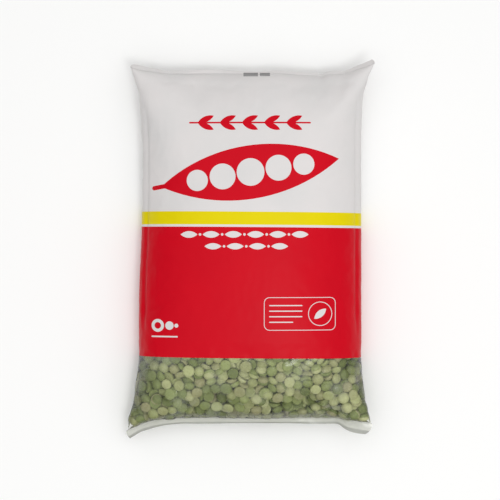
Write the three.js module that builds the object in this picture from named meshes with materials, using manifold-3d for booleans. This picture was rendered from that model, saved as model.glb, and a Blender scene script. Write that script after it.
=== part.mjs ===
// A filled 500 g pillow bag of green split peas, lying on its back as it does on a table.
// Millimetres. +X is the bag's right side, +Y its top seal and +Z the way its front faces.
// The film and the peas behind it are one solid: a pillow that is flat underneath, with a thin
// heat-sealed band and two dog-eared corners at each end, a lapped seam up its back, and the
// peas standing through in relief where the film is clear.
import * as THREE from "three";
import { mergeVertices } from "three/addons/utils/BufferGeometryUtils.js";
import Module from "manifold-3d";

// ---- Driving dimensions ----
const bag = {
  waistHalfWidth: 60.6, // half the width across the filled middle
  endToEnd: 194.7, // on the centre line, over both seals
  sealBand: 4, // height of the band fused at each end
  sealThickness: 1.2,
  frontRise: 23.2, // of the front above the level of the seals
  backDrop: 20, // of the back below it, if the table weren't there
  sealLevel: 13.6, // of the seals above the table
  sectionPower: 2.3, // 2 is an ellipse, more is boxier
  profilePower: 3.2, // how late the pillow begins to close toward a seal
  profileRoot: 1.75, // how steeply it closes there
};

// The left side is fuller below the middle. at and spread are shares of the half length.
const bulge = { width: 1.6, at: -0.3, spread: 0.35 };

// How each corner stands out of the pillow. flare: past the waist, along X. rise: past the
// seal's middle, along Y. lift: along Z. run: how far down the side the flare reaches.
// from and power: the share of the half width where the rise starts, and its curve.
const corners = {
  topLeft: { flare: 6.4, rise: 3.6, lift: 2.5, run: 13, from: 0.66, power: 1.1 },
  topRight: { flare: 6.8, rise: 5.9, lift: 5, run: 11, from: 0.74, power: 1.0 },
  bottomLeft: { flare: 8.8, rise: 8, lift: -3, run: 25, from: 0.5, power: 2.2 },
  bottomRight: { flare: 6.2, rise: 5.8, lift: 2, run: 15, from: 0.72, power: 0.8 },
};
const flarePower = 1.4; // how sharply a flare begins
const riseFadesOver = 26; // mm from the seal, for a corner's rise and lift
const sealWave = { height: 1.1, length: 58, offset: 9 }; // of both seals, up and down

const seam = { width: 11, proud: 0.5, embedded: 1.5, endShare: 0.985 }; // the lap up the back
const clearEnd = { height: 36.8, lowestShare: -0.95 }; // unprinted film, from the bottom edge up

// The split peas, as half discs in relief. They lie in loose rows and are shaken out of line.
const pea = { radius: 3.2, proud: 1.3, embedded: 1.2, sides: 6, tilt: 0.24 };
const peaShare = { shoulder: 0.68, shoulderUp: 0.82 }; // of radius and proud
const scatter = { spacing: 6.4, rowSpacing: 5.5, shake: 2.6, sink: 0.4, seed: 11 };

const mesh = { around: 40, along: 28, normalStep: 1e-3, walkSteps: 600 };
const colours = { film: 0xcd1226 };

const bodyHalfLength = bag.endToEnd / 2 - bag.sealBand;

// ---- The pillow's surface ----

// share is -1 at the bottom seal's inner edge and 1 at the top seal's, and angle goes round the
// bag from its right side over the front.
function cornerAt(share, angle) {
  const right = Math.cos(angle) >= 0;
  if (share >= 0) return right ? corners.topRight : corners.topLeft;
  return right ? corners.bottomRight : corners.bottomLeft;
}

function powered(value, power) {
  return Math.sign(value) * Math.pow(Math.abs(value), power);
}

function halfWidth(share, angle) {
  const fromSeal = (1 - Math.abs(share)) * bodyHalfLength;
  const corner = cornerAt(share, angle);
  const flare = corner.flare * Math.exp(-Math.pow(fromSeal / corner.run, flarePower));
  if (Math.cos(angle) >= 0) return bag.waistHalfWidth + flare;
  const fuller = bulge.width * Math.exp(-Math.pow((share - bulge.at) / bulge.spread, 2));
  return bag.waistHalfWidth + flare + fuller;
}

function surfacePoint(share, angle, pastSeal = 0) {
  const across = powered(Math.cos(angle), 2 / bag.sectionPower);
  const lift = powered(Math.sin(angle), 2 / bag.sectionPower);
  const fullness = Math.pow(1 - Math.pow(Math.abs(share), bag.profilePower), 1 / bag.profileRoot);
  const depth = lift > 0 ? bag.frontRise : bag.backDrop;
  const corner = cornerAt(share, angle);
  const outer = Math.max(0, (Math.abs(across) - corner.from) / (1 - corner.from));
  const fade = Math.exp(-Math.pow(((1 - Math.abs(share)) * bodyHalfLength) / riseFadesOver, 2));
  const ear = Math.pow(outer, corner.power) * fade;
  const x = across * halfWidth(share, angle);
  const wave = sealWave.height * Math.sin((2 * Math.PI * (x + sealWave.offset)) / sealWave.length) * fade;
  return new THREE.Vector3(
    x,
    Math.sign(share) * (Math.abs(share) * bodyHalfLength + pastSeal + corner.rise * ear),
    bag.sealLevel + wave + corner.lift * ear + lift * (bag.sealThickness / 2 + depth * fullness),
  );
}

function surfaceNormal(share, angle) {
  const step = mesh.normalStep;
  const alongBag = surfacePoint(share + step, angle).sub(surfacePoint(share - step, angle));
  const aroundBag = surfacePoint(share, angle + step).sub(surfacePoint(share, angle - step));
  return alongBag.cross(aroundBag).normalize();
}

// ---- Solids ----

const wasm = await Module();
wasm.setup();

function solidOf(geometry) {
  const plain = geometry.index ? geometry.toNonIndexed() : geometry;
  const positions = new THREE.BufferGeometry().setAttribute("position", plain.getAttribute("position"));
  const merged = mergeVertices(positions, 1e-4);
  return new wasm.Manifold(
    new wasm.Mesh({
      numProp: 3,
      vertProperties: merged.attributes.position.array,
      triVerts: new Uint32Array(merged.index.array),
    }),
  );
}

function geometryOf(solid) {
  const { vertProperties, triVerts } = solid.getMesh();
  return new THREE.BufferGeometry()
    .setAttribute("position", new THREE.BufferAttribute(vertProperties, 3))
    .setIndex(new THREE.BufferAttribute(triVerts, 1));
}

// Joins rings of as many points each into a closed skin, with a flat cap over each end.
function skinOf(rings) {
  const count = rings[0].length;
  const points = rings.flat();
  const triangles = [];
  for (let r = 0; r + 1 < rings.length; r++)
    for (let i = 0; i < count; i++) {
      const [a, b] = [r * count + i, r * count + ((i + 1) % count)];
      triangles.push(a, b + count, b, a, a + count, b + count);
    }
  const last = (rings.length - 1) * count;
  for (let i = 0; i < count / 2; i++) {
    const [near, next] = [i, i + 1];
    const [far, farNext] = [(count - i) % count, (count - i - 1) % count];
    triangles.push(near, farNext, far, near, next, farNext);
    triangles.push(last + near, last + far, last + farNext, last + near, last + farNext, last + next);
  }
  return new THREE.BufferGeometry()
    .setAttribute("position", new THREE.Float32BufferAttribute(points.flatMap((p) => p.toArray()), 3))
    .setIndex(triangles);
}

// Shares from seal to seal, closer together toward the seals, where the pillow curves most.
function sharesAlong() {
  return Array.from({ length: mesh.along + 1 }, (_, k) => -Math.cos((Math.PI * k) / mesh.along));
}

function pillow() {
  const stations = [
    { share: -1, pastSeal: bag.sealBand },
    ...sharesAlong().map((share) => ({ share, pastSeal: 0 })),
    { share: 1, pastSeal: bag.sealBand },
  ];
  const rings = stations.map(({ share, pastSeal }) =>
    Array.from({ length: mesh.around }, (_, i) =>
      surfacePoint(share, (2 * Math.PI * i) / mesh.around, pastSeal),
    ),
  );
  return solidOf(skinOf(rings));
}

// A strip of doubled film that follows the back from seal to seal.
function backSeam() {
  const half = seam.width / 2;
  const rings = sharesAlong().map((along) => {
    const share = along * seam.endShare;
    const middle = surfacePoint(share, 1.5 * Math.PI);
    const out = surfaceNormal(share, 1.5 * Math.PI);
    const corner = (x, outward) => new THREE.Vector3(x, middle.y, middle.z).addScaledVector(out, outward);
    return [
      corner(half, -seam.embedded),
      corner(-half, -seam.embedded),
      corner(-half, seam.proud),
      corner(half, seam.proud),
    ];
  });
  return solidOf(skinOf(rings));
}

// One half pea: a low disc with a sloping rim and a slight crown, its flat face inward.
function halfPea() {
  const { radius, proud, embedded, sides } = pea;
  const profile = [
    [0, -embedded],
    [radius, -embedded],
    [radius * peaShare.shoulder, proud * peaShare.shoulderUp],
    [0, proud],
  ].map(([x, y]) => new THREE.Vector2(x, y));
  return new THREE.LatheGeometry(profile, sides);
}

// The same draws from 0 to 1 each time, by a linear congruential rule.
function randomDraws(seed) {
  const rule = { multiplier: 1664525, increment: 1013904223, modulus: 2 ** 32 };
  let state = seed;
  return () => {
    state = (state * rule.multiplier + rule.increment) % rule.modulus;
    return state / rule.modulus;
  };
}

// Values between two whose points on a curve lie a spacing apart.
function spacedValues(pointAt, from, to, spacing) {
  const values = [from];
  for (let n = 1; n < mesh.walkSteps; n++) {
    const value = from + ((to - from) * n) / mesh.walkSteps;
    if (pointAt(value).distanceTo(pointAt(values.at(-1))) >= spacing) values.push(value);
  }
  return values;
}

// Half peas over the clear film, above the table. Each row starts half a pea further round.
function showingPeas() {
  const draw = randomDraws(scatter.seed);
  const shaken = () => (draw() - 0.5) * scatter.shake;
  const highestShare = (clearEnd.height - pea.radius - bag.endToEnd / 2) / bodyHalfLength;
  const upFront = (share) => surfacePoint(share, Math.PI / 2);
  const rows = spacedValues(upFront, clearEnd.lowestShare, highestShare, scatter.rowSpacing);
  const halves = [];
  rows.forEach((rowShare, row) => {
    const start = ((row % 2) * scatter.spacing) / 2 / bag.waistHalfWidth;
    const roundBag = (angle) => surfacePoint(rowShare, angle);
    for (const rowAngle of spacedValues(roundBag, start, start + 2 * Math.PI, scatter.spacing)) {
      const share = rowShare + shaken() / bodyHalfLength;
      const angle = rowAngle + shaken() / bag.waistHalfWidth;
      const place = surfacePoint(share, angle);
      if (place.z < pea.radius) continue;
      const out = surfaceNormal(share, angle);
      place.addScaledVector(out, -scatter.sink * draw());
      const upright = new THREE.Quaternion().setFromUnitVectors(new THREE.Vector3(0, 1, 0), out);
      const lean = { by: pea.tilt * draw(), toward: 2 * Math.PI * draw() };
      const tipped = new THREE.Quaternion().setFromEuler(
        new THREE.Euler(lean.by * Math.cos(lean.toward), lean.toward, lean.by * Math.sin(lean.toward)),
      );
      const placed = new THREE.Matrix4().compose(place, upright.multiply(tipped), new THREE.Vector3(1, 1, 1));
      halves.push(solidOf(halfPea().applyMatrix4(placed)));
    }
  });
  return halves;
}

// The half space under the table's top.
function belowTable() {
  const size = 2 * bag.endToEnd;
  return solidOf(new THREE.BoxGeometry(size, size, size).translate(0, 0, -size / 2));
}

function bagSolid() {
  let solid = pillow().add(backSeam());
  for (const half of showingPeas()) solid = solid.add(half);
  return solid.subtract(belowTable());
}

// The origin is under the middle of the bag's box, on the table.
function centred(geometry) {
  geometry.computeBoundingBox();
  const { min, max } = geometry.boundingBox;
  return geometry.translate(-(min.x + max.x) / 2, -(min.y + max.y) / 2, -min.z);
}

const film = new THREE.MeshStandardMaterial({ color: colours.film, roughness: 0.35, metalness: 0 });
const bagMesh = new THREE.Mesh(centred(geometryOf(bagSolid())), film);
bagMesh.name = "bag";

const part = new THREE.Group();
part.add(bagMesh);

export default part;
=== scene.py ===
import math

import bmesh
import bpy
import numpy as np
from mathutils import Euler, Matrix, Vector
from mathutils.bvhtree import BVHTree


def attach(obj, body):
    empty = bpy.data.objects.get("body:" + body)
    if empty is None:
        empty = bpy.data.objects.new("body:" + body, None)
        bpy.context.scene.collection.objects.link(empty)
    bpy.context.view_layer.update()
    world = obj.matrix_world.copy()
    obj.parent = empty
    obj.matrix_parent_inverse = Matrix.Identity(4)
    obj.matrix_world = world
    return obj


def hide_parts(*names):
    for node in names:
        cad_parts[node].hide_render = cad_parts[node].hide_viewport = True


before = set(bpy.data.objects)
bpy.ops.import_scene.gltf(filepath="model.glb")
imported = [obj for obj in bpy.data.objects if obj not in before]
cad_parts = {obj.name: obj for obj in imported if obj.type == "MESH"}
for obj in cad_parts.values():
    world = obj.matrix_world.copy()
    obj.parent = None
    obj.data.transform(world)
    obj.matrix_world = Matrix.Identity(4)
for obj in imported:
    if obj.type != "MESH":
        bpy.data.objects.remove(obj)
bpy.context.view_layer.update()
scene = bpy.context.scene
scene.view_settings.view_transform = "Standard"
mm = 0.001


# Camera: straight above, as the photograph looks at the pack. A 150 mm lens keeps it flat.
camera = {
    "lens": 150.0,  # mm
    "sensor": 36.0,
    "pictureWidth": 275.0,  # mm across the 500 pixels, at the level of the seals
    "sealLevel": 13.6,
}


def addCamera():
    data = bpy.data.cameras.new("camera")
    data.lens = camera["lens"]
    data.sensor_width = camera["sensor"]
    data.clip_start = 0.01
    data.clip_end = 20
    obj = bpy.data.objects.new("camera", data)
    distance = camera["pictureWidth"] * camera["lens"] / camera["sensor"]
    obj.location = (0, 0, (distance + camera["sealLevel"]) * mm)
    scene.collection.objects.link(obj)
    scene.camera = obj


addCamera()


# Small helpers for meshes, colours and nodes
def makeObject(name, points, faces):
    mesh = bpy.data.meshes.new(name)
    mesh.from_pydata([tuple(p) for p in points], [], [tuple(f) for f in faces])
    mesh.update()
    obj = bpy.data.objects.new(name, mesh)
    scene.collection.objects.link(obj)
    return obj


def makeSquare(name, half):
    points = [(-half, -half, 0), (half, -half, 0), (half, half, 0), (-half, half, 0)]
    return makeObject(name, points, [(0, 1, 2, 3)])


def readPoints(mesh):
    points = np.empty(len(mesh.vertices) * 3)
    mesh.vertices.foreach_get("co", points)
    return points.reshape(-1, 3)


def writePoints(mesh, points):
    mesh.vertices.foreach_set("co", points.ravel())
    mesh.update()


def evaluatedMesh(obj):
    graph = bpy.context.evaluated_depsgraph_get()
    return bpy.data.meshes.new_from_object(obj.evaluated_get(graph))


def deleteObject(obj):
    mesh = obj.data
    bpy.data.objects.remove(obj)
    bpy.data.meshes.remove(mesh)


def linear(hexColour):
    channels = [int(hexColour[i : i + 2], 16) / 255 for i in (1, 3, 5)]
    bent = [c / 12.92 if c <= 0.04045 else ((c + 0.055) / 1.055) ** 2.4 for c in channels]
    return bent + [1.0]


def perMetre(size):  # a texture scale for a pattern that repeats every size millimetres
    return 1 / (size * mm)


def addNode(tree, kind, settings=None, links=None):
    node = tree.nodes.new(kind)
    for name, value in (settings or {}).items():
        if name in node.inputs:
            node.inputs[name].default_value = value
        else:
            setattr(node, name, value)
    for name, source in (links or {}).items():
        tree.links.new(source, node.inputs[name])
    return node


# A Mix node's colour sockets share their names with others, so they go by number.
mixColour = {"factor": 0, "first": 6, "second": 7, "result": 2}


def newTree(name):
    material = bpy.data.materials.new(name)
    material.use_nodes = True
    material.node_tree.nodes.clear()
    return material, material.node_tree


# The pillow, in millimetres, close to the part's own solid but with the seals at the width that
# shows. share runs from -1 at the bottom seal to 1 at the top one, and angle goes round the bag
# from its right side over the front.
bag = {
    "waistHalfWidth": 60.6,
    "endToEnd": 194.7,
    "sealBand": {"top": 1.8, "bottom": 3.0},  # what shows of each seal from the front
    "sealDroop": {"top": 0.9, "bottom": 0.5},  # mm down for each mm outward
    "earRounding": (1.5, 0.3),  # taken off each tip, across and along the bag
    "sealGap": 0.3,  # of the fused films
    "frontRise": 23.2,
    "backDrop": 20.0,
    "sealLevel": 13.6,
    "sectionPower": 2.3,
    "profilePower": 3.2,
    "profileRoot": {"top": 1.75, "bottom": 2.4},  # the peas sit hard against the bottom seal
    "flarePower": 1.4,
    "riseFadesOver": 26.0,
    "bulge": {"width": 1.6, "at": -0.3, "spread": 0.35},
    "sealWave": {"height": 1.1, "length": 58.0, "offset": 9.0},
    "onTable": 0.3,  # lowest point of the film
    "top": 37.2,  # highest
}
# The four ears, each as (left, right)
corners = {
    "flare": {"top": (6.4, 6.8), "bottom": (8.8, 5.6)},  # mm outward at the seal
    "run": {"top": (13, 11), "bottom": (25, 15)},  # mm along the bag until the flare fades
    "rise": {"top": (2.6, 4.9), "bottom": (6.8, 2.0)},  # mm along the bag at the tip
    "seal": {"top": (1.4, 1.4), "bottom": (2.4, 4.4)},  # mm more of seal at the tip
    "lift": {"top": (2.5, 5), "bottom": (-3, 2)},  # mm off the table at the tip
    "start": {"top": (0.66, 0.74), "bottom": (0.5, 0.72)},  # of the half width, where it begins
    "power": {"top": (1.1, 1.0), "bottom": (2.2, 0.5)},  # above 1 it comes late and curls
}
bodyReach = {end: bag["endToEnd"] / 2 - bag["sealBand"][end] for end in ("top", "bottom")}


def powered(value, power):
    return np.sign(value) * np.abs(value) ** power


def cornerValue(name, share, right):
    (topLeft, topRight), (bottomLeft, bottomRight) = corners[name]["top"], corners[name]["bottom"]
    top = np.where(right, topRight, topLeft)
    bottom = np.where(right, bottomRight, bottomLeft)
    return np.where(share >= 0, top, bottom)


def pillowPoint(share, angle):
    share, angle = np.broadcast_arrays(np.asarray(share, float), np.asarray(angle, float))
    right = np.cos(angle) >= 0
    across = powered(np.cos(angle), 2 / bag["sectionPower"])
    lift = powered(np.sin(angle), 2 / bag["sectionPower"])
    halfLength = np.where(share < 0, bodyReach["bottom"], bodyReach["top"])
    fromSeal = (1 - np.abs(share)) * halfLength
    run = cornerValue("run", share, right)
    flare = cornerValue("flare", share, right) * np.exp(-((fromSeal / run) ** bag["flarePower"]))
    bulge = bag["bulge"]
    fuller = bulge["width"] * np.exp(-(((share - bulge["at"]) / bulge["spread"]) ** 2))
    x = across * (bag["waistHalfWidth"] + flare + np.where(right, 0, fuller))
    root = np.where(share >= 0, bag["profileRoot"]["top"], bag["profileRoot"]["bottom"])
    fullness = np.clip(1 - np.abs(share) ** bag["profilePower"], 0, 1) ** (1 / root)
    depth = np.where(lift > 0, bag["frontRise"], bag["backDrop"])
    start = cornerValue("start", share, right)
    outer = np.clip((np.abs(across) - start) / (1 - start), 0, 1)
    fade = np.exp(-((fromSeal / bag["riseFadesOver"]) ** 2))
    ear = outer ** cornerValue("power", share, right) * fade
    wave = bag["sealWave"]
    ripple = wave["height"] * np.sin(2 * math.pi * (x + wave["offset"]) / wave["length"]) * fade
    rise = cornerValue("rise", share, right) * ear
    y = np.where(share < 0, -1, 1) * (np.abs(share) * halfLength + rise)
    z = bag["sealLevel"] + ripple + cornerValue("lift", share, right) * ear
    z = z + lift * (bag["sealGap"] / 2 + depth * fullness)
    return np.stack([x, y, np.maximum(z, bag["onTable"])], axis=-1)


# Film: a flat tube of constant girth, 136 mm wide laid flat, closed by a seal at each end. It
# starts as the pillow above and a cloth simulation lets it find its own creases at that girth.
film = {
    "columns": 64,  # quads across each face
    "rows": 96,  # quads from seal to seal
    "sealRows": 3,
    "flatWidth": 136.0,  # mm
    "flatLength": 201.4,
    "frames": 18,
    "unitsPerMm": 0.01,  # ten times real size, where the solver is steady
    "quality": 7,
    "weight": 345.6,  # shared among the grid's points
    "pressure": 2.45,
    "stretch": 60.0,
    "bend": 0.08,
    "damping": 25,
    "bendDamping": 1,
    "airDamping": 5,
    "friction": 5,
    "margin": 0.004,  # kept between surfaces, in solver units
    "smoothing": 60,  # passes that part broad moves from creases
    "creaseGain": 1.2,
    "endCreases": 0.4,  # their share left at the seals
    "broadCap": 5.0,  # mm, how far the simulation may move the middle of the bag
    "endCap": 0.5,  # and its seals
    "endReach": 24.0,
}


def spacedAlong(points, count):
    # as many points, a like distance apart, on the way through the given ones
    steps = np.linalg.norm(np.diff(points, axis=0), axis=1)
    run = np.concatenate([[0], np.cumsum(steps)])
    places = np.linspace(0, run[-1], count)
    return np.stack([np.interp(places, run, points[:, k]) for k in range(3)], axis=1)


def filmRow(share, front):
    steps = 120  # over each half of the row
    angles = np.linspace(math.pi, 0, 2 * steps + 1) * (1 if front else -1)
    points = pillowPoint(share, angles)
    half = film["columns"] // 2
    left = spacedAlong(points[: steps + 1], half + 1)
    right = spacedAlong(points[steps:], half + 1)
    return np.concatenate([left, right[1:]])


def earSeal(end):
    # how much wider the seal is at each column, most at the tips of its ears
    across = np.linspace(-1, 1, film["columns"] + 1)
    share = np.full(across.shape, 1 if end == "top" else -1)
    start = cornerValue("start", share, across > 0)
    outer = np.clip((np.abs(across) - start) / (1 - start), 0, 1)
    return cornerValue("seal", share, across > 0) * outer ** cornerValue("power", share, across > 0)


def filmGrid():
    rows, columns = film["rows"], film["columns"]
    fine = np.linspace(-1, 1, 801)
    alongFront = pillowPoint(fine, math.pi / 2)
    run = np.concatenate([[0], np.cumsum(np.linalg.norm(np.diff(alongFront, axis=0), axis=1))])
    shares = np.interp(np.linspace(0, run[-1], rows + 1), run, fine)
    frontPoints = np.array([filmRow(share, True) for share in shares])
    backPoints = np.array([filmRow(share, False) for share in shares])
    inner = np.zeros((rows + 1, columns + 1), bool)
    inner[1:-1, 1:-1] = True
    frontPoints[~inner] = (frontPoints[~inner] + backPoints[~inner]) / 2
    front = np.arange(inner.size).reshape(inner.shape)
    back = front.copy()
    back[inner] = inner.size + np.arange(inner.sum())

    flatX, flatY = np.meshgrid(
        np.linspace(-0.5, 0.5, columns + 1) * film["flatWidth"],
        np.linspace(-0.5, 0.5, rows + 1) * film["flatLength"],
    )
    lift = np.where(inner, bag["sealGap"] / 2, 0)
    flatFront = np.stack([flatX, flatY, lift], axis=-1)
    flatBack = flatFront * [1, 1, -1]
    points = [frontPoints.reshape(-1, 3), backPoints[inner]]
    flat = [flatFront.reshape(-1, 3), flatBack[inner]]
    faces = []
    for grid, flipped in ((front, False), (back, True)):
        around = [grid[:-1, :-1], grid[:-1, 1:], grid[1:, 1:], grid[1:, :-1]]
        quads = np.stack(around, axis=-1).reshape(-1, 4)
        faces.append(quads[:, ::-1] if flipped else quads)

    # the fused bands, one layer of quads past each end
    count = inner.size + int(inner.sum())
    strips = {}
    for end, edge, outward in (("top", rows, 1), ("bottom", 0, -1)):
        previous = front[edge]
        band = bag["sealBand"][end] + earSeal(end)
        for k in range(1, film["sealRows"] + 1):
            run = band * k / film["sealRows"]
            step = np.stack([0 * run, outward * run, 0 * run], axis=1)
            strip = frontPoints[edge] + step
            strip[:, 2] -= bag["sealDroop"][end] * run
            rounded = (k / film["sealRows"]) ** 3
            strip[[0, -1], 0] += np.array([1, -1]) * bag["earRounding"][0] * rounded
            strip[[0, -1], 1] -= outward * bag["earRounding"][1] * rounded
            points.append(strip)
            flat.append(flatFront[edge] + step)
            current = count + np.arange(columns + 1)
            count += columns + 1
            quads = np.stack([previous[:-1], previous[1:], current[1:], current[:-1]], axis=-1)
            faces.append(quads if outward > 0 else quads[:, ::-1])
            previous = current
        strips[end] = previous
    grid = {"front": front, "back": back, "edges": strips}
    return np.concatenate(points), np.concatenate(flat), np.concatenate(faces), grid


def settleFilm(points, flat, faces):
    unit = film["unitsPerMm"]
    obj = makeObject("settling", points * unit, faces)
    obj.shape_key_add(name="filled")
    cut = obj.shape_key_add(name="flat")
    cut.data.foreach_set("co", (flat * unit).astype(np.float32).ravel())
    cut.value = 0
    table = makeSquare("table", 5 * bag["endToEnd"] * unit)
    table.modifiers.new("collision", "COLLISION")
    table.collision.thickness_outer = film["margin"] / 2
    table.collision.cloth_friction = film["friction"]

    cloth = obj.modifiers.new("cloth", "CLOTH")
    settings = cloth.settings
    settings.rest_shape_key = cut
    settings.quality = film["quality"]
    settings.mass = film["weight"] / (film["columns"] * film["rows"])
    settings.tension_stiffness = film["stretch"]
    settings.compression_stiffness = film["stretch"]
    settings.shear_stiffness = film["stretch"] / 2
    settings.bending_stiffness = film["bend"]
    settings.tension_damping = film["damping"]
    settings.compression_damping = film["damping"]
    settings.shear_damping = film["damping"]
    settings.bending_damping = film["bendDamping"]
    settings.air_damping = film["airDamping"]
    settings.use_pressure = True
    settings.uniform_pressure_force = film["pressure"]
    cloth.collision_settings.distance_min = film["margin"]
    cloth.collision_settings.collision_quality = 2
    cloth.point_cache.frame_end = film["frames"]
    for step in range(1, film["frames"] + 1):
        scene.frame_set(step)
    settled = evaluatedMesh(obj)
    result = readPoints(settled) / unit
    bpy.data.meshes.remove(settled)
    deleteObject(obj)
    deleteObject(table)
    scene.frame_set(1)
    return result


def fitOutline(points, start, grid):
    # the settled film keeps its creases, and its outline and height go back to the pillow's
    fitted = points.copy()
    across = np.linspace(-1, 1, film["columns"] + 1)
    for end, sign in (("top", 1), ("bottom", -1)):
        edge = grid["edges"][end]
        ratio = start[edge, 1] / points[edge, 1]
        share = np.interp(points[:, 0] / np.abs(points[edge, 0]).max(), across, ratio)
        half = points[:, 1] * sign > 0
        fitted[half, 1] = points[half, 1] * share[half]
    rows = np.linspace(fitted[:, 1].min(), fitted[:, 1].max(), film["rows"] // 2)

    def reach(places, sign):
        step = rows[1] - rows[0]
        near = [places[np.abs(places[:, 1] - y) < step][:, 0] * sign for y in rows]
        return np.array([xs.max() for xs in near])

    for sign in (1, -1):
        ratio = np.interp(fitted[:, 1], rows, reach(start, sign) / reach(fitted, sign))
        side = fitted[:, 0] * sign > 0
        fitted[side, 0] *= ratio[side]
    low, high = points[:, 2].min(), points[:, 2].max()
    height = bag["top"] - bag["onTable"]
    fitted[:, 2] = bag["onTable"] + (points[:, 2] - low) * height / (high - low)
    return fitted


def edgesOf(faces):
    pairs = np.concatenate([faces[:, [k, (k + 1) % 4]] for k in range(4)])
    return np.unique(np.sort(pairs, axis=1), axis=0)


def neighbourMean(values, edges):
    total = np.zeros_like(values)
    count = np.zeros(len(values))
    for here, there in ((0, 1), (1, 0)):
        np.add.at(total, edges[:, here], values[edges[:, there]])
        np.add.at(count, edges[:, here], 1)
    return (total.T / count).T


def capMoves(points, start, faces):
    # broad moves are held back, most of all near the seals, and creases are kept
    edges = edgesOf(faces)
    moved = points - start
    broad = moved.copy()
    for _ in range(film["smoothing"]):
        broad = (broad + neighbourMean(broad, edges)) / 2
    inward = np.abs(start[:, 1]).max() - np.abs(start[:, 1])
    fromEnd = np.clip(inward, 0, film["endReach"]) / film["endReach"]
    cap = film["endCap"] + (film["broadCap"] - film["endCap"]) * fromEnd**2
    length = np.linalg.norm(broad, axis=1)
    held = broad * (cap / np.maximum(cap, length))[:, None]
    kept = film["endCreases"] + (1 - film["endCreases"]) * fromEnd
    creases = (moved - broad) * (film["creaseGain"] * kept)[:, None]
    result = start + held + creases
    result[:, 2] = np.maximum(result[:, 2], bag["onTable"])
    return result


# The top edge waves a little and is nicked where the roll was cut, in mm from left to right.
topEdge = {
    "across": [-47, -22, 4, 15, 31, 36, 38.5, 41, 46],
    "rise": [0, 1.1, -0.5, 0.5, -0.9, -1.2, -3.0, -0.6, 0],
    "reach": 22.0,  # mm down the bag to where nothing is left of them
    "dent": 0.8,
}


def waveTop(points):
    inward = points[:, 1].max() - bag["sealBand"]["top"] - points[:, 1]
    fade = np.clip(1 - inward / topEdge["reach"], 0, 1)
    rise = np.interp(points[:, 0], topEdge["across"], topEdge["rise"]) * fade**2
    points[:, 1] += rise
    points[:, 2] += topEdge["dent"] * rise
    return points


def centred(points):
    # the frame's origin is under the middle of the bag's box
    low, high = points[:, :2].min(axis=0), points[:, :2].max(axis=0)
    points[:, :2] -= (low + high) / 2
    return points


startPoints, flatPoints, filmFaces, filmIndex = filmGrid()
filmPoints = fitOutline(settleFilm(startPoints, flatPoints, filmFaces), startPoints, filmIndex)
filmPoints = capMoves(filmPoints, startPoints, filmFaces)
filmPoints = centred(waveTop(filmPoints))
print("film settled", np.ptp(filmPoints, axis=0).round(1), "mm")


# Split peas fill the bag as loose rigid bodies. It is stood on its end and swayed, then tipped so
# that they lie against the front film. Each is half a seed: one flat face and one dome. Sizes in
# millimetres, solver values in its own units.
peas = {
    "kinds": [
        {"radius": 3.15, "height": 2.7, "oval": 1.0},
        {"radius": 3.35, "height": 2.9, "oval": 0.95},
        {"radius": 2.95, "height": 2.6, "oval": 0.97},
        {"radius": 3.4, "height": 3.0, "oval": 1.0},
        {"radius": 3.25, "height": 2.7, "oval": 0.92},
        {"radius": 3.05, "height": 2.8, "oval": 1.0},
    ],
    "profile": [  # (of the radius, of the height) from the flat face over the dome
        (0.5, 0.0),
        (0.88, 0.0),
        (0.97, 0.06),
        (1.0, 0.2),
        (0.93, 0.52),
        (0.72, 0.8),
        (0.38, 0.96),
    ],
    "sides": 12,
    "coarseProfile": [(0.93, 0.0), (1.0, 0.18), (0.78, 0.68)],  # what the rigid bodies feel
    "coarseSides": 10,
    "balance": 0.38,  # of the height, up from the flat face
    "spacing": (7.0, 7.0, 3.9),  # of the loose start, lying nearly flat
    "shake": (0.1, 0.1, 0.1),
    "tilt": 0.2,
    "clearance": 3.2,  # from the film at the start
    "coreClearance": 2.0,  # and from the lump in the middle
    "pourFrom": 84.0,  # y up to which peas start
    "keptBelow": -51.0,  # y, since print hides the peas above it
    "frames": 40,
    "stoodFor": 0.6,  # of the frames
    "stood": {"down": -60.0, "front": 20.0, "sway": 60.0, "sways": 2},  # pull, as gravity
    "tipped": {"down": -40.0, "front": 60.0},
    "wallInset": 0.4,  # so that no pea sits outside the film
    "core": 13.0,  # this far inside the film nothing is seen, so a solid lump fills it
    "corePower": 0.6,  # below 1 the lump is squarer than an ellipsoid
    "unitsPerMm": 0.1,  # a hundred times real size, where the solver's margins are small
    "substeps": 4,
    "iterations": 6,
    "friction": 0.3,
    "wallFriction": 0.15,
    "margin": 0.01,
    "wallMargin": 0.02,
    "mass": 0.05,
    "damping": 0.1,
    "turnDamping": 0.3,
    "seed": 5,
}


def peaShape(kind, profile, sides):
    # rings from the flat face up over the dome, closed by a point at each end
    angles = np.arange(sides) * 2 * math.pi / sides
    points = [(0, 0, 0)]
    for radius, height in profile:
        for a in angles:
            x, y = radius * kind["radius"] * math.cos(a), radius * kind["radius"] * math.sin(a)
            points.append((x, y * kind["oval"], height * kind["height"]))
    points.append((0, 0, kind["height"]))
    faces = [(0, 1 + (i + 1) % sides, 1 + i) for i in range(sides)]
    for ring in range(len(profile) - 1):
        first = 1 + ring * sides
        for i in range(sides):
            j = (i + 1) % sides
            faces.append((first + i, first + j, first + sides + j, first + sides + i))
    first, tip = 1 + (len(profile) - 1) * sides, len(points) - 1
    faces += [(first + i, first + (i + 1) % sides, tip) for i in range(sides)]
    return np.array(points) - [0, 0, kind["height"] * peas["balance"]], faces


def sealedBody(name, inset, unit):
    # the film without its seal bands, drawn in
    lastBody = max(filmIndex["front"].max(), filmIndex["back"].max())
    body = [f for f in filmFaces if max(f) <= lastBody]
    obj = makeObject(name, filmPoints[: lastBody + 1], body)
    normals = np.array([v.normal for v in obj.data.vertices])
    writePoints(obj.data, (readPoints(obj.data) - normals * inset) * unit)
    return obj


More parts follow.
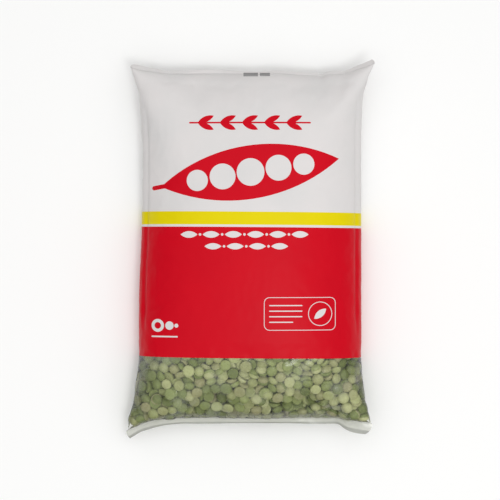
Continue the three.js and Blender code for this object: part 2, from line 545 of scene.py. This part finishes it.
def coreOf(unit):
    # a smooth lump as far inside the film as the peas lie deep
    low, high = filmPoints.min(axis=0), filmPoints.max(axis=0)
    half = (high - low) / 2 - peas["core"]
    shape = bmesh.new()
    bmesh.ops.create_icosphere(shape, subdivisions=3, radius=1)
    for vertex in shape.verts:
        way = np.array(vertex.co)
        vertex.co = (powered(way, peas["corePower"]) * half + (low + high) / 2) * unit
    mesh = bpy.data.meshes.new("core")
    shape.to_mesh(mesh)
    shape.free()
    obj = bpy.data.objects.new("core", mesh)
    scene.collection.objects.link(obj)
    return obj


def inside(tree, point, clearance):
    up = tree.ray_cast(point, Vector((0, 0, 1)))
    down = tree.ray_cast(point, Vector((0, 0, -1)))
    if up[0] is None or down[0] is None or up[1].z < 0 or down[1].z > 0:
        return False
    return tree.find_nearest(point)[3] > clearance


def touches(tree, point, unit):
    nearest, normal, _, distance = tree.find_nearest(point)
    return distance < peas["coreClearance"] * unit or (point - nearest).dot(normal) < 0


def startPlaces(draw):
    low, high = filmPoints.min(axis=0), filmPoints.max(axis=0)
    stepX, stepY, stepZ = peas["spacing"]
    for y in np.arange(low[1], peas["pourFrom"], stepY):
        for x in np.arange(low[0], high[0], stepX):
            for z in np.arange(low[2], high[2], stepZ):
                yield np.array([x, y, z]) + draw.uniform(-1, 1, 3) * peas["shake"]


def pourPeas():
    unit = peas["unitsPerMm"]
    wall, core = sealedBody("wall", peas["wallInset"], unit), coreOf(unit)
    bpy.context.view_layer.update()
    graph = bpy.context.evaluated_depsgraph_get()
    tree, coreTree = BVHTree.FromObject(wall, graph), BVHTree.FromObject(core, graph)
    meshes = []
    for kind in peas["kinds"]:
        points, faces = peaShape(kind, peas["coarseProfile"], peas["coarseSides"])
        mesh = bpy.data.meshes.new("coarsePea")
        mesh.from_pydata([tuple(p) for p in points * unit], [], faces)
        meshes.append(mesh)

    draw = np.random.default_rng(peas["seed"])
    loose = []
    for start in startPlaces(draw):
        place = Vector(start * unit)
        if not inside(tree, place, peas["clearance"] * unit) or touches(coreTree, place, unit):
            continue
        kind = int(draw.integers(len(meshes)))
        pea = bpy.data.objects.new("loosePea", meshes[kind])
        pea.location = place
        tilt = draw.uniform(-1, 1, 2) * peas["tilt"]
        upside = math.pi * draw.integers(2)
        pea.rotation_euler = Euler((tilt[0] + upside, tilt[1], draw.uniform(0, 2 * math.pi)))
        pea["kind"] = kind
        scene.collection.objects.link(pea)
        loose.append(pea)

    shakeDown([wall, core], loose)
    bpy.context.view_layer.update()
    settled = []
    for pea in loose:
        place = np.array(pea.matrix_world)
        place[:3, 3] /= unit
        centre = place[:3, 3]
        if inside(tree, Vector(centre * unit), 0) and centre[1] < peas["keptBelow"]:
            settled.append((pea["kind"], place))
        bpy.data.objects.remove(pea)
    if scene.rigidbody_world:
        bpy.ops.rigidbody.world_remove()
    for mesh in meshes:
        bpy.data.meshes.remove(mesh)
    deleteObject(wall)
    deleteObject(core)
    scene.frame_set(1)
    return settled


def shakeDown(walls, loose):
    bpy.ops.rigidbody.world_add()
    world = scene.rigidbody_world
    world.substeps_per_frame = peas["substeps"]
    world.solver_iterations = peas["iterations"]
    world.point_cache.frame_end = peas["frames"]
    bpy.ops.object.select_all(action="DESELECT")
    for wall in walls:
        bpy.context.view_layer.objects.active = wall
        wall.select_set(True)
        bpy.ops.rigidbody.object_add(type="PASSIVE")
        wall.rigid_body.collision_shape = "MESH"
        wall.rigid_body.friction = peas["wallFriction"]
        wall.rigid_body.use_margin = True
        wall.rigid_body.collision_margin = peas["wallMargin"]
        wall.select_set(False)
    for pea in loose:
        pea.select_set(True)
    bpy.context.view_layer.objects.active = loose[0]
    bpy.ops.rigidbody.objects_add(type="ACTIVE")
    for pea in loose:
        body = pea.rigid_body
        body.collision_shape = "CONVEX_HULL"
        body.mass = peas["mass"]
        body.friction = peas["friction"]
        body.restitution = 0
        body.linear_damping = peas["damping"]
        body.angular_damping = peas["turnDamping"]
        body.use_margin = True
        body.collision_margin = peas["margin"]
    stood, tipped = peas["stood"], peas["tipped"]
    earthGravity = scene.gravity.copy()
    for step in range(1, peas["frames"] + 1):
        done = step / peas["frames"]
        if done < peas["stoodFor"]:
            turn = 2 * math.pi * stood["sways"] * done / peas["stoodFor"]
            scene.gravity = (stood["sway"] * math.sin(turn), stood["down"], stood["front"])
        else:
            scene.gravity = (0, tipped["down"], tipped["front"])
        scene.frame_set(step)
    scene.gravity = earthGravity


def joinPeas(settled):
    shapes = [peaShape(kind, peas["profile"], peas["sides"]) for kind in peas["kinds"]]
    points, faces, count = [], [], 0
    for kind, place in settled:
        shapePoints, shapeFaces = shapes[kind]
        points.append(shapePoints @ place[:3, :3].T + place[:3, 3])
        faces += [tuple(v + count for v in face) for face in shapeFaces]
        count += len(shapePoints)
    obj = makeObject("splitPeas", np.concatenate(points) * mm, faces)
    obj.data.polygons.foreach_set("use_smooth", [True] * len(obj.data.polygons))
    return obj


settledPeas = pourPeas()
peaHeap = joinPeas(settledPeas)
print("peas poured", len(settledPeas), "faces", len(peaHeap.data.polygons))


# The clear film sinks a little between the peas, and any film that a pea pokes is pushed out
# over it. Lengths in millimetres.
cling = {
    "reach": 2.0,  # outside the film, from where peas are looked for
    "depth": 3.0,  # inside the film, to where they are
    "deepest": 0.7,
    "share": 0.7,  # of the gap down to the peas
    "passes": 3,  # of smoothing
    "skin": 0.2,  # left between pea and film
    "fullBelow": -56.0,  # y, sinking in full
    "noneAbove": -50.0,
    "pushedOutBelow": -38.0,
}


def fineFilm():
    obj = makeObject("film", filmPoints, filmFaces)
    # 0 for the body, then 1 for a seal and 2 for its cut edge, at the top and at the bottom alike
    columns = film["columns"]
    parts = [0] * (2 * film["rows"] * columns)
    parts += ([1] * ((film["sealRows"] - 1) * columns) + [2] * columns) * 2
    obj.data.polygons.foreach_set("material_index", parts)
    smooth = obj.modifiers.new("smooth", "SUBSURF")
    smooth.levels = 1
    smooth.boundary_smooth = "PRESERVE_CORNERS"
    mesh = evaluatedMesh(obj)
    deleteObject(obj)
    return mesh


def clingToPeas(mesh):
    heap = peaHeap.data.copy()
    heap.transform(Matrix.Scale(1 / mm, 4))
    heapPoints = [v.co for v in heap.vertices]
    tree = BVHTree.FromPolygons(heapPoints, [p.vertices[:] for p in heap.polygons])
    bpy.data.meshes.remove(heap)
    points = readPoints(mesh)
    edges = np.array([e.vertices[:] for e in mesh.edges])
    normals = np.array([v.normal for v in mesh.vertices])
    gap = np.full(len(points), cling["depth"])
    for i in np.nonzero(points[:, 1] < cling["pushedOutBelow"])[0]:
        outside = Vector(points[i] + normals[i] * cling["reach"])
        hit = tree.ray_cast(outside, Vector(-normals[i]), cling["reach"] + gap[i])
        if hit[0] is not None:
            gap[i] = hit[3] - cling["reach"]
    closest = gap.copy()
    for here, there in ((0, 1), (1, 0)):
        np.minimum.at(closest, edges[:, here], gap[edges[:, there]])
    gap = closest
    sink = np.clip(gap - cling["skin"], -cling["reach"], cling["deepest"]) * cling["share"]
    for _ in range(cling["passes"]):
        sink = np.minimum((sink + neighbourMean(sink, edges)) / 2, gap - cling["skin"])
    fadeOver = cling["noneAbove"] - cling["fullBelow"]
    fade = np.clip((cling["noneAbove"] - points[:, 1]) / fadeOver, 0, 1)
    points -= normals * np.where(sink > 0, sink * fade, sink)[:, None]
    points[:, 2] = np.maximum(points[:, 2], bag["onTable"])
    writePoints(mesh, points)


# Along each side a soft line is left where the tube was folded flat on its roll.
foldLine = {  # mm
    "inside": 3.0,  # the bag's side
    "width": 0.9,
    "depth": 1.0,
    "from": -48.0,  # y
    "to": 84.0,
    "fade": 14.0,
}


def pressFolds(mesh):
    points = readPoints(mesh)
    normals = np.array([v.normal for v in mesh.vertices])
    rows = np.linspace(points[:, 1].min(), points[:, 1].max(), film["rows"])
    step = rows[1] - rows[0]
    ends = np.stack([points[:, 1] - foldLine["from"], foldLine["to"] - points[:, 1]])
    strength = np.clip(ends.min(axis=0) / foldLine["fade"], 0, 1) * foldLine["depth"]
    strength[normals[:, 2] <= 0] = 0
    for sign in (1, -1):
        reach = [(points[np.abs(points[:, 1] - y) < step][:, 0] * sign).max() for y in rows]
        inset = np.interp(points[:, 1], rows, reach) - points[:, 0] * sign
        depth = strength * np.exp(-(((inset - foldLine["inside"]) / foldLine["width"]) ** 2))
        points -= normals * depth[:, None]
    writePoints(mesh, points)


# The lap seam up the back, where the tube's two edges are welded
seam = {"width": 11.0, "edge": 0.4, "proud": 0.2}  # mm


def addSeam(shape):
    backRows = filmPoints[filmIndex["back"]]
    half = seam["width"] / 2
    inner = half - seam["edge"]
    section = [(-half, 0), (-inner, seam["proud"]), (inner, seam["proud"]), (half, 0)]
    rings = []
    for row in backRows[1:-1]:
        ring = []
        for x, proud in section:
            y, z = (np.interp(x, row[:, 0], row[:, k]) for k in (1, 2))
            ring.append(shape.verts.new((x, y, z - proud)))
        rings.append(ring)
    for lower, upper in zip(rings, rings[1:]):
        for k in range(len(section) - 1):
            shape.faces.new((lower[k], upper[k], upper[k + 1], lower[k + 1]))


# Printed bands, from the top down, as the y in millimetres where each begins on the middle line.
# All of them run down a little to the right.
bands = {
    "yellowFrom": 20.7,
    "lineFrom": 13.7,  # a thin white line between the yellow and the red
    "redFrom": 12.4,
    "clearFrom": -58.6,
    "lean": -0.0075,  # mm of y for each mm to the right
}
inkNames = ["white", "yellow", "red", "clear", "grey", "whiteSeal", "clearSeal", "cutEdge"]
tiny = 1e-4  # mm, below which a cut leaves a point where it is


def cutAt(shape, y):
    everything = list(shape.verts) + list(shape.edges) + list(shape.faces)
    across = (-bands["lean"], 1, 0)
    bmesh.ops.bisect_plane(shape, geom=everything, plane_co=(0, y, 0), plane_no=across, dist=tiny)


def bandOf(face):
    centre = face.calc_center_median()
    if centre.y > 0 and face.material_index:
        return "whiteSeal"
    if face.material_index:
        return "clearSeal" if face.material_index == 1 else "cutEdge"
    y = centre.y - bands["lean"] * centre.x
    if y > bands["yellowFrom"]:
        return "white"
    if y > bands["lineFrom"]:
        return "yellow"
    if y > bands["redFrom"]:
        return "white"
    return "red" if y > bands["clearFrom"] else "clear"


def printed(shape, ink, at, size, **more):
    return {"shape": shape, "ink": ink, "at": at, "size": size, **more}


def shapeRow(shape, size, y, xs):
    return [printed(shape, "white", (x, y), size) for x in xs]


def leaf(x, side):
    return printed("lens", "red", (x, 69 + 1.9 * side), (9.5, 3.2), turn=24 * side)


# Plain printed shapes, seen from above, in millimetres. Each is convex and is cut into the film.
# A later one lies over an earlier one. turn is in degrees.
motifs = {
    "pod": [
        printed("lens", "red", (0, 42), (98, 29), turn=9),
        printed("bar", "red", (-48.5, 34.3), (10, 2.4), turn=9),
        printed("disc", "white", (-28.5, 37.6), (11.5, 11.5)),
        printed("disc", "white", (-14.8, 39.7), (14, 14)),
        printed("disc", "white", (0.3, 42.1), (15, 15)),
        printed("disc", "white", (15.4, 44.4), (14, 14)),
        printed("disc", "white", (29.1, 46.4), (11.5, 11.5)),
    ],
    "sprig": [
        printed("bar", "red", (0, 69), (66, 0.9)),
        *[leaf(x, side) for x in (-24, -12, 0, 12, 24) for side in (1, -1)],
    ],
    "garland": [
        *shapeRow("lens", (9.2, 3.6), 8.4, range(-33, 34, 12)),
        *shapeRow("disc", (1.4, 1.4), 8.4, range(-27, 28, 12)),
        *shapeRow("lens", (9.2, 3.4), 2.0, range(-20, 21, 12)),
        *shapeRow("disc", (1.4, 1.4), 2.0, range(-14, 11, 12)),
    ],
    "dots": [
        printed("disc", "white", (-50.2, -41), (7, 7)),
        printed("disc", "red", (-50.2, -41), (3.6, 3.6)),
        printed("disc", "white", (-43.7, -41), (4.6, 4.6)),
        printed("disc", "white", (-39.9, -41), (2.2, 2.2)),
        printed("bar", "white", (-46.4, -47), (14.6, 0.8)),
    ],
    "panel": [
        printed("bar", "white", (27, -34.5), (39, 18), corner=3),
        printed("bar", "red", (27, -34.5), (38.3, 17.3), corner=2.7),
        *[printed("bar", "white", (19.3, y), (18, 0.6)) for y in (-30, -33, -36)],
        printed("bar", "white", (16.8, -39), (13, 0.6)),
        printed("disc", "white", (38, -34.5), (13.2, 13.2)),
        printed("disc", "red", (38, -34.5), (12.4, 12.4)),
        printed("lens", "white", (38, -34.5), (8.4, 3.6), turn=40),
    ],
    "eyeMark": [
        printed("bar", "grey", (0.4, 96.4), (8, 2.4), corner=0.2),
        printed("bar", "grey", (8.2, 96.4), (5.6, 2.2), corner=0.2),
    ],
}


def motifOutline(motif):
    # its corners in turn, anticlockwise
    width, height = motif["size"]
    if motif["shape"] == "disc":
        sides = 36
        angles = np.arange(sides) * 2 * math.pi / sides
        points = np.stack([np.cos(angles) * width / 2, np.sin(angles) * height / 2], axis=1)
    elif motif["shape"] == "lens":
        radius = (width**2 / 4 + height**2 / 4) / height
        reach = math.asin(width / 2 / radius)
        angles = np.linspace(-reach, reach, 25)[:-1]
        centre = radius - height / 2
        lower = np.stack([np.sin(angles) * radius, centre - np.cos(angles) * radius], axis=1)
        points = np.concatenate([lower, -lower])
    else:
        corner = motif.get("corner", height / 2)
        points = []
        for quarter, (sx, sy) in enumerate([(1, 1), (-1, 1), (-1, -1), (1, -1)]):
            for a in np.linspace(0, math.pi / 2, 7) + quarter * math.pi / 2:
                x = sx * (width / 2 - corner) + corner * math.cos(a)
                points.append((x, sy * (height / 2 - corner) + corner * math.sin(a)))
        points = np.array(points)
    turn = math.radians(motif.get("turn", 0))
    across, along = math.cos(turn), math.sin(turn)
    return points @ np.array([[across, along], [-along, across]]) + motif["at"]


def splitFace(points, face, line, madeOn):
    # the parts of a face on the near and the far side of a line, None for a side it is not on
    fromX, fromY, outX, outY = line
    sides = []
    for corner in face:
        x, y = points[corner][:2]
        side = (x - fromX) * outX + (y - fromY) * outY
        sides.append(0 if abs(side) < tiny else side)
    if max(sides) <= 0:
        return face, None
    if min(sides) >= 0:
        return None, face
    near, far = [], []
    for k, here in enumerate(face):
        there, toHere, toThere = face[k - 1], sides[k], sides[k - 1]
        if toHere * toThere < 0:
            edge = (min(here, there), max(here, there))
            if edge not in madeOn:
                madeOn[edge] = len(points)
                share = toHere / (toHere - toThere)
                points.append([a + (b - a) * share for a, b in zip(points[here], points[there])])
            near.append(madeOn[edge])
            far.append(madeOn[edge])
        if toHere <= 0:
            near.append(here)
        if toHere >= 0:
            far.append(here)
    return near, far


def inBox(points, face, low, high):
    x, y = points[face[0]][:2]
    return low[0] < x < high[0] and low[1] < y < high[1]


def inlay(points, faces, outline, ink):
    # faces are (corners, ink) pairs, and one of them is at most a margin across
    margin = 2
    low, high = outline.min(axis=0) - margin, outline.max(axis=0) + margin
    done = [pair for pair in faces if not inBox(points, pair[0], low, high)]
    within = [pair for pair in faces if inBox(points, pair[0], low, high)]
    for here, there in zip(outline, np.roll(outline, -1, axis=0)):
        along = there - here
        length = np.linalg.norm(along)
        if length < tiny:
            continue
        line = (*here, along[1] / length, -along[0] / length)
        madeOn, still = {}, []
        for face, colour in within:
            near, far = splitFace(points, face, line, madeOn)
            if far:
                done.append((far, colour))
            if near:
                still.append((near, colour))
        within = still
    return done + [(face, ink) for face, _ in within]


def bandedFilm():
    # points hold a place and the film's smooth normal there
    mesh = fineFilm()
    clingToPeas(mesh)
    pressFolds(mesh)
    shape = bmesh.new()
    shape.from_mesh(mesh)
    bpy.data.meshes.remove(mesh)
    addSeam(shape)
    for name in ("yellowFrom", "lineFrom", "redFrom", "clearFrom"):
        cutAt(shape, bands[name])
    shape.normal_update()
    shape.verts.index_update()
    points = [[*v.co, *v.normal] for v in shape.verts]
    front, back = [], []
    for face in shape.faces:
        corners = [v.index for v in face.verts]
        side = front if face.normal.z > 0.2 else back  # the steep sides bear no motif
        side.append((corners, bandOf(face)))
    shape.free()
    return points, front, back


def filmPieces():
    points, front, back = bandedFilm()
    for group in motifs.values():
        for motif in group:
            front = inlay(points, front, motifOutline(motif), motif["ink"])
    values = np.array(points)
    made = {}
    for name in inkNames:
        faces = [face for face, ink in front + back if ink == name]
        used = sorted({corner for face in faces for corner in face})
        order = {corner: k for k, corner in enumerate(used)}
        renumbered = [[order[corner] for corner in face] for face in faces]
        obj = makeObject(name + "Film", values[used, :3] * mm, renumbered)
        obj.data.polygons.foreach_set("use_smooth", [True] * len(faces))
        # the whole film's normals, so that no edge shows where one colour meets the next
        obj.data.normals_split_custom_set_from_vertices([tuple(n) for n in values[used, 3:]])
        made[name] = obj
    return made


filmObjects = filmPieces()
print("film pieces", {name: len(obj.data.polygons) for name, obj in filmObjects.items()})


# Printed polyethylene film: ink laid down in one pass under a satin skin. It gives an even,
# slightly soft-edged gloss, with the faint lumps of the peas behind it.
inks = {
    "white": {"ink": "#e6e0df", "thin": "#d6d6d5"},
    "yellow": {"ink": "#ead900", "thin": "#e0cd00"},
    "red": {"ink": "#d3001b", "thin": "#c8001a"},
    "grey": {"ink": "#8a8989", "thin": "#a3a2a2"},
    "roughness": 0.4,
    "ior": 1.5,
    "shine": 0.1,  # specular level, low under the matt lacquer
    "mottle": {"Scale": perMetre(26.0), "Detail": 4.0},
    "lump": {"feature": "SMOOTH_F1", "Scale": perMetre(6.2), "Smoothness": 0.6},
    "lumpBump": {"Strength": 0.06, "Distance": 0.001},
    "crinkle": {"Scale": perMetre(2.2), "Detail": 3.0},
    "crinkleBump": {"Strength": 0.05, "Distance": 0.0003},
    # ribs of the sealing jaws, 1.3 mm apart as real ones of 0.8 mm would not show; a wave texture
    # turns once in 0.314 of its own units
    "ribs": {"bands_direction": "Y", "Scale": 0.314 * perMetre(1.3), "Distortion": 0.3},
}


def inkMaterial(name, colours, ribbed=False):
    material, tree = newTree(name)
    place = addNode(tree, "ShaderNodeTexCoord").outputs["Object"]
    mottle = addNode(tree, "ShaderNodeTexNoise", inks["mottle"], {"Vector": place})
    colour = addNode(tree, "ShaderNodeMix", {"data_type": "RGBA"})
    colour.inputs[mixColour["first"]].default_value = linear(colours["ink"])
    colour.inputs[mixColour["second"]].default_value = linear(colours["thin"])
    tree.links.new(mottle.outputs["Fac"], colour.inputs[mixColour["factor"]])
    crinkle = addNode(tree, "ShaderNodeTexNoise", inks["crinkle"], {"Vector": place})
    if ribbed:
        form = addNode(tree, "ShaderNodeTexWave", inks["ribs"], {"Vector": place}).outputs["Fac"]
    else:
        lumps = addNode(tree, "ShaderNodeTexVoronoi", inks["lump"], {"Vector": place})
        form = lumps.outputs["Distance"]
    broad = addNode(tree, "ShaderNodeBump", inks["lumpBump"], {"Height": form})
    fine = addNode(
        tree,
        "ShaderNodeBump",
        inks["crinkleBump"],
        {"Height": crinkle.outputs["Fac"], "Normal": broad.outputs["Normal"]},
    )
    shader = addNode(
        tree,
        "ShaderNodeBsdfPrincipled",
        {"Roughness": inks["roughness"], "IOR": inks["ior"], "Specular IOR Level": inks["shine"]},
        {"Base Color": colour.outputs[mixColour["result"]], "Normal": fine.outputs["Normal"]},
    )
    addNode(tree, "ShaderNodeOutputMaterial", {}, {"Surface": shader.outputs["BSDF"]})
    return material


# Clear polyethylene film: blown, 50 micrometres thick. It shows the peas through a faint haze
# and catches lamps as small sharp glints.
clearFilm = {
    "haze": 0.02,
    "sealHaze": 0.5,  # where the jaws crushed two films into one
    "roughness": 0.12,
    "ior": 1.5,
    "crinkle": {"Scale": perMetre(2.5), "Detail": 3.0},
    "bump": {"Strength": 0.1, "Distance": 0.0004},
    "hazeColour": "#f4f6f2",
    "patch": {"Scale": perMetre(17.0), "Detail": 3.0},  # where pea dust has greyed it
    "patchFrom": 0.48,  # of the noise, where a patch starts
    "patchTo": 0.72,
    "patchHaze": 0.1,
    "sealColour": "#bcbead",
    "edgeHazeAndShade": 0.75,  # where a hot blade cut it: a real melted bead, but its dark grey is painted shade standing in for the shadow along the outline
    "edgePaintedShade": "#8f9186",
}


def clearMaterial(name, hazeShare, hazeColour):
    material, tree = newTree(name)
    place = addNode(tree, "ShaderNodeTexCoord").outputs["Object"]
    crinkle = addNode(tree, "ShaderNodeTexNoise", clearFilm["crinkle"], {"Vector": place})
    bump = addNode(tree, "ShaderNodeBump", clearFilm["bump"], {"Height": crinkle.outputs["Fac"]})
    normal = bump.outputs["Normal"]
    through = addNode(tree, "ShaderNodeBsdfTransparent")
    haze = addNode(tree, "ShaderNodeBsdfDiffuse", {"Color": linear(hazeColour)})
    dust = addNode(tree, "ShaderNodeTexNoise", clearFilm["patch"], {"Vector": place})
    share = addNode(
        tree,
        "ShaderNodeMapRange",
        {
            "From Min": clearFilm["patchFrom"],
            "From Max": clearFilm["patchTo"],
            "To Min": hazeShare,
            "To Max": hazeShare + clearFilm["patchHaze"],
        },
        {"Value": dust.outputs["Fac"]},
    )
    body = addNode(tree, "ShaderNodeMixShader", {}, {"Fac": share.outputs["Result"]})
    tree.links.new(through.outputs[0], body.inputs[1])
    tree.links.new(haze.outputs[0], body.inputs[2])
    smoothness = {"Roughness": clearFilm["roughness"]}
    gloss = addNode(tree, "ShaderNodeBsdfAnisotropic", smoothness, {"Normal": normal})
    glancing = addNode(tree, "ShaderNodeFresnel", {"IOR": clearFilm["ior"]}, {"Normal": normal})
    surface = addNode(tree, "ShaderNodeMixShader", {}, {"Fac": glancing.outputs["Fac"]})
    tree.links.new(body.outputs[0], surface.inputs[1])
    tree.links.new(gloss.outputs[0], surface.inputs[2])
    addNode(tree, "ShaderNodeOutputMaterial", {}, {"Surface": surface.outputs[0]})
    return material


# Split pea: a dried seed without its skin, matt and a little floury, from moss green through
# yellow-green to a pale buff.
peaFinish = {
    "tones": ["#7d894a", "#909d5b", "#a0ac69", "#adb776", "#b1ae80", "#bdc488", "#cdd09a"],
    "roughness": 0.75,
    "ior": 1.45,
    "flour": {"Scale": perMetre(1.4), "Detail": 4.0},
    "flourShare": 0.5,
    "grain": {"Scale": perMetre(0.35), "Detail": 2.0},
    "bump": {"Strength": 0.3, "Distance": 0.0002},
}


def peaMaterial():
    material, tree = newTree("driedSplitPea")
    place = addNode(tree, "ShaderNodeTexCoord").outputs["Object"]
    island = addNode(tree, "ShaderNodeNewGeometry").outputs["Random Per Island"]
    tones = addNode(tree, "ShaderNodeValToRGB", {}, {"Fac": island})
    ramp = tones.color_ramp
    while len(ramp.elements) < len(peaFinish["tones"]):
        ramp.elements.new(0.5)
    for i, tone in enumerate(peaFinish["tones"]):
        ramp.elements[i].position = i / (len(peaFinish["tones"]) - 1)
        ramp.elements[i].color = linear(tone)
    flour = addNode(tree, "ShaderNodeTexNoise", peaFinish["flour"], {"Vector": place})
    colour = addNode(tree, "ShaderNodeMix", {"data_type": "RGBA", "blend_type": "SOFT_LIGHT"})
    colour.inputs[mixColour["factor"]].default_value = peaFinish["flourShare"]
    tree.links.new(tones.outputs["Color"], colour.inputs[mixColour["first"]])
    tree.links.new(flour.outputs["Fac"], colour.inputs[mixColour["second"]])
    grain = addNode(tree, "ShaderNodeTexNoise", peaFinish["grain"], {"Vector": place})
    bump = addNode(tree, "ShaderNodeBump", peaFinish["bump"], {"Height": grain.outputs["Fac"]})
    shader = addNode(
        tree,
        "ShaderNodeBsdfPrincipled",
        {"Roughness": peaFinish["roughness"], "IOR": peaFinish["ior"]},
        {"Base Color": colour.outputs[mixColour["result"]], "Normal": bump.outputs["Normal"]},
    )
    addNode(tree, "ShaderNodeOutputMaterial", {}, {"Surface": shader.outputs["BSDF"]})
    return material


finishes = {
    "white": inkMaterial("whiteInkOnFilm", inks["white"]),
    "yellow": inkMaterial("yellowInkOnFilm", inks["yellow"]),
    "red": inkMaterial("redInkOnFilm", inks["red"]),
    "grey": inkMaterial("greyInkOnFilm", inks["grey"]),
    "clear": clearMaterial("clearPolyethylene", clearFilm["haze"], clearFilm["hazeColour"]),
    "whiteSeal": inkMaterial("whiteInkOnRibbedSeal", inks["white"], ribbed=True),
    "clearSeal": clearMaterial("fusedPolyethylene", clearFilm["sealHaze"], clearFilm["sealColour"]),
    # the cut edge's dark grey is painted shade along the bag's outline, laid over a real melted
    # bead
    "cutEdge": clearMaterial("meltedEdgeWithPaintedShade", clearFilm["edgeHazeAndShade"], clearFilm["edgePaintedShade"]),
}
for name, obj in filmObjects.items():
    obj.data.materials.append(finishes[name])
    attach(obj, "root")
    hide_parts("bag")
peaHeap.data.materials.append(peaMaterial())
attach(peaHeap, "root")
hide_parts("bag")
print("finishes on")


# Studio: a pale paper floor under a tent of light that is brightest overhead, with one broad lamp
studio = {
    "floor": "#fbfbfa",
    "floorRoughness": 0.9,
    "floorSize": 6.0,  # m
    "brightestAt": (0.07, 0.03, 0.95),  # the direction the tent glows from
    "dimFrom": -0.1,  # the cosine of the angle to it at which the tent is dimmest
    "dim": 0.05,
    "bright": 1.15,
    "lamp": {"at": (0.22, -0.25, 1.0), "size": 0.35, "power": 1.9},  # m and W
}


def addStudio():
    floor = makeSquare("floor", studio["floorSize"] / 2)
    material, tree = newTree("paperSweep")
    paper = {"Base Color": linear(studio["floor"]), "Roughness": studio["floorRoughness"]}
    shader = addNode(tree, "ShaderNodeBsdfPrincipled", paper)
    addNode(tree, "ShaderNodeOutputMaterial", {}, {"Surface": shader.outputs["BSDF"]})
    floor.data.materials.append(material)
    world = bpy.data.worlds.new("softLight")
    scene.world = world
    world.use_nodes = True
    tree = world.node_tree
    direction = addNode(tree, "ShaderNodeTexCoord").outputs["Generated"]
    toward = addNode(tree, "ShaderNodeVectorMath", {"operation": "DOT_PRODUCT"}, {0: direction})
    toward.inputs[1].default_value = Vector(studio["brightestAt"]).normalized()
    strength = addNode(
        tree,
        "ShaderNodeMapRange",
        {
            "interpolation_type": "SMOOTHSTEP",
            "From Min": studio["dimFrom"],
            "From Max": 1.0,
            "To Min": studio["dim"],
            "To Max": studio["bright"],
        },
        {"Value": toward.outputs["Value"]},
    )
    background = tree.nodes["Background"]
    background.inputs["Color"].default_value = (1, 1, 1, 1)
    tree.links.new(strength.outputs["Result"], background.inputs["Strength"])
    lamp = studio["lamp"]
    data = bpy.data.lights.new("lamp", "AREA")
    data.shape = "DISK"
    data.size = lamp["size"]
    data.energy = lamp["power"]
    obj = bpy.data.objects.new("lamp", data)
    obj.location = lamp["at"]
    obj.rotation_euler = (-Vector(lamp["at"])).to_track_quat("-Z", "Y").to_euler()
    scene.collection.objects.link(obj)


addStudio()
